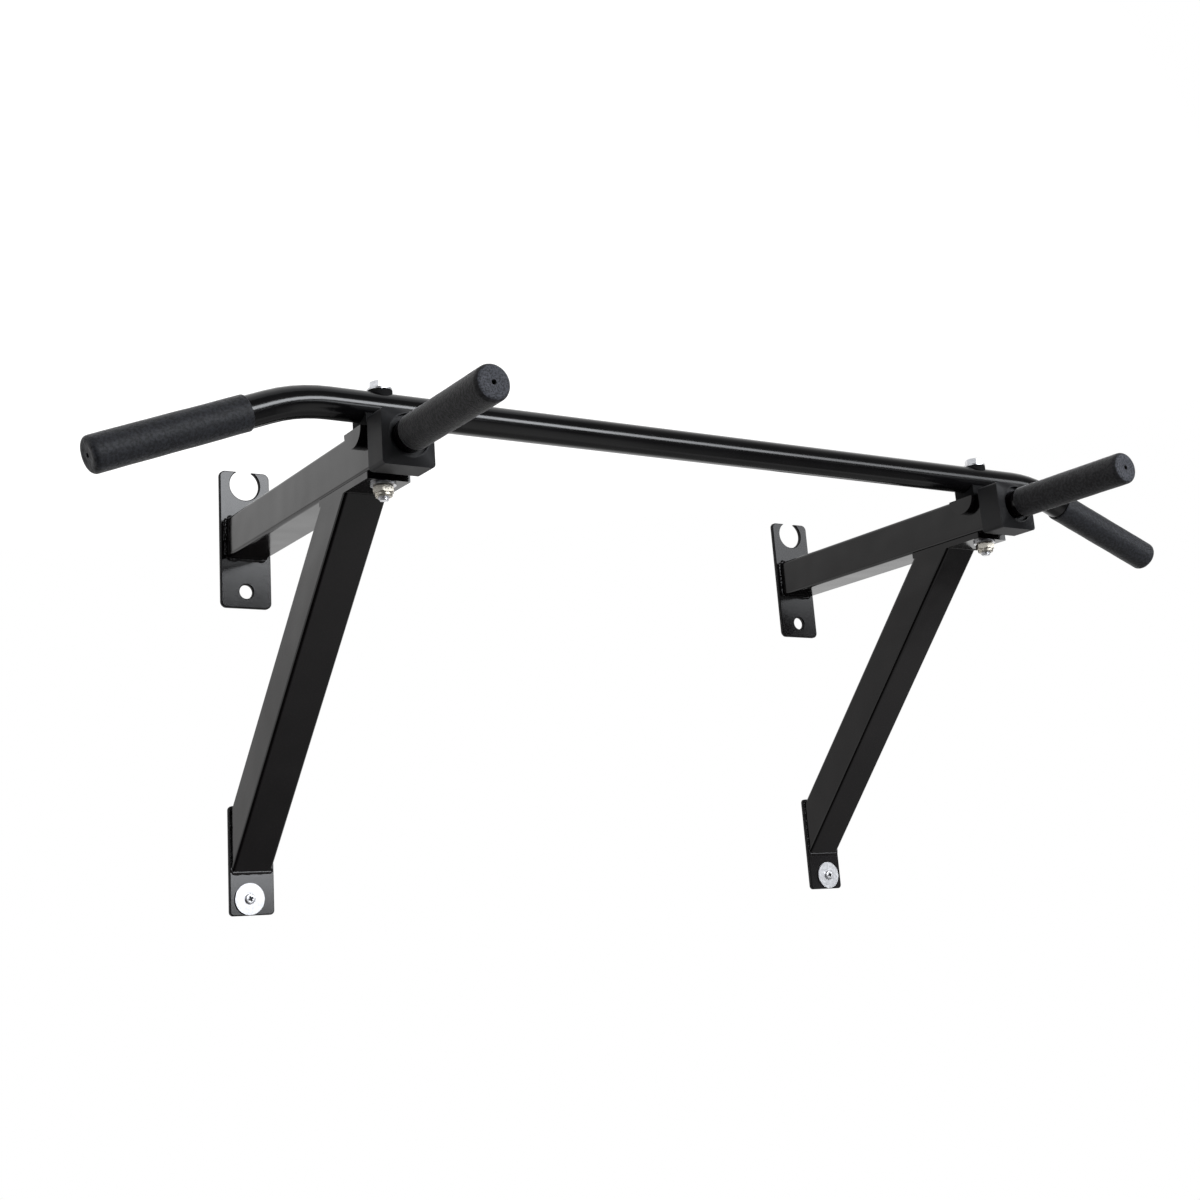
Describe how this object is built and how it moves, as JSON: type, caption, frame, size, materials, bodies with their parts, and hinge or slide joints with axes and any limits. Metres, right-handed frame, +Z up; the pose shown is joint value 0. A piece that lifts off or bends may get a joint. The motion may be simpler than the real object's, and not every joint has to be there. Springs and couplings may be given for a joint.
{
  "type": "pull up bar",
  "caption": "Wall-mounted pull up bar: square braced arms carry a round bar with drooping foam-gripped ends and foam-gripped handles that point forward.",
  "frame": {"origin": "on the wall plane, midway between the two round mounting holes of the upper wall plates", "axes": "+X along the bar to the right of a user who faces the wall, +Y into the wall, +Z up"},
  "size_m": [1.2034, 0.5284, 0.4295],
  "materials": {
    "black_steel": "satin black powder coat",
    "bar_gloss": "glossy black paint",
    "foam": "matte closed-cell foam",
    "cap_plastic": "matte moulded plastic",
    "pad_rubber": "black moulded rubber",
    "zinc": "bright zinc plating"
  },
  "bodies": {
    "root": {"pull_bar": "bar_gloss", "upper_wall_plate_left": "black_steel", "upper_wall_plate_right": "black_steel", "lower_wall_plate_left": "black_steel", "lower_wall_plate_right": "black_steel", "arm_tube_left": "black_steel", "arm_tube_right": "black_steel", "brace_head_plate_left": "black_steel", "brace_head_plate_right": "black_steel", "brace_tube_left": "black_steel", "brace_tube_right": "black_steel", "bar_seat_left": "black_steel", "bar_seat_right": "black_steel", "saddle_pad_left": "pad_rubber", "saddle_pad_right": "pad_rubber", "saddle_washer_left": "pad_rubber", "saddle_washer_right": "pad_rubber", "top_washer_left": "zinc", "top_washer_right": "zinc", "clamp_bolt_left": "zinc", "clamp_bolt_right": "zinc", "nut_washer_left": "zinc", "nut_washer_right": "zinc", "clamp_nut_left": "zinc", "clamp_nut_right": "zinc", "front_cap_left": "cap_plastic", "front_cap_right": "cap_plastic", "handle_tube_left": "black_steel", "handle_tube_right": "black_steel", "handle_grip_left": "foam", "handle_grip_right": "foam", "bar_grip_left": "foam", "bar_grip_right": "foam", "fender_washer_left": "zinc", "fender_washer_right": "zinc", "wall_screw_left": "zinc", "wall_screw_right": "zinc"}
  },
  "joints": []
}
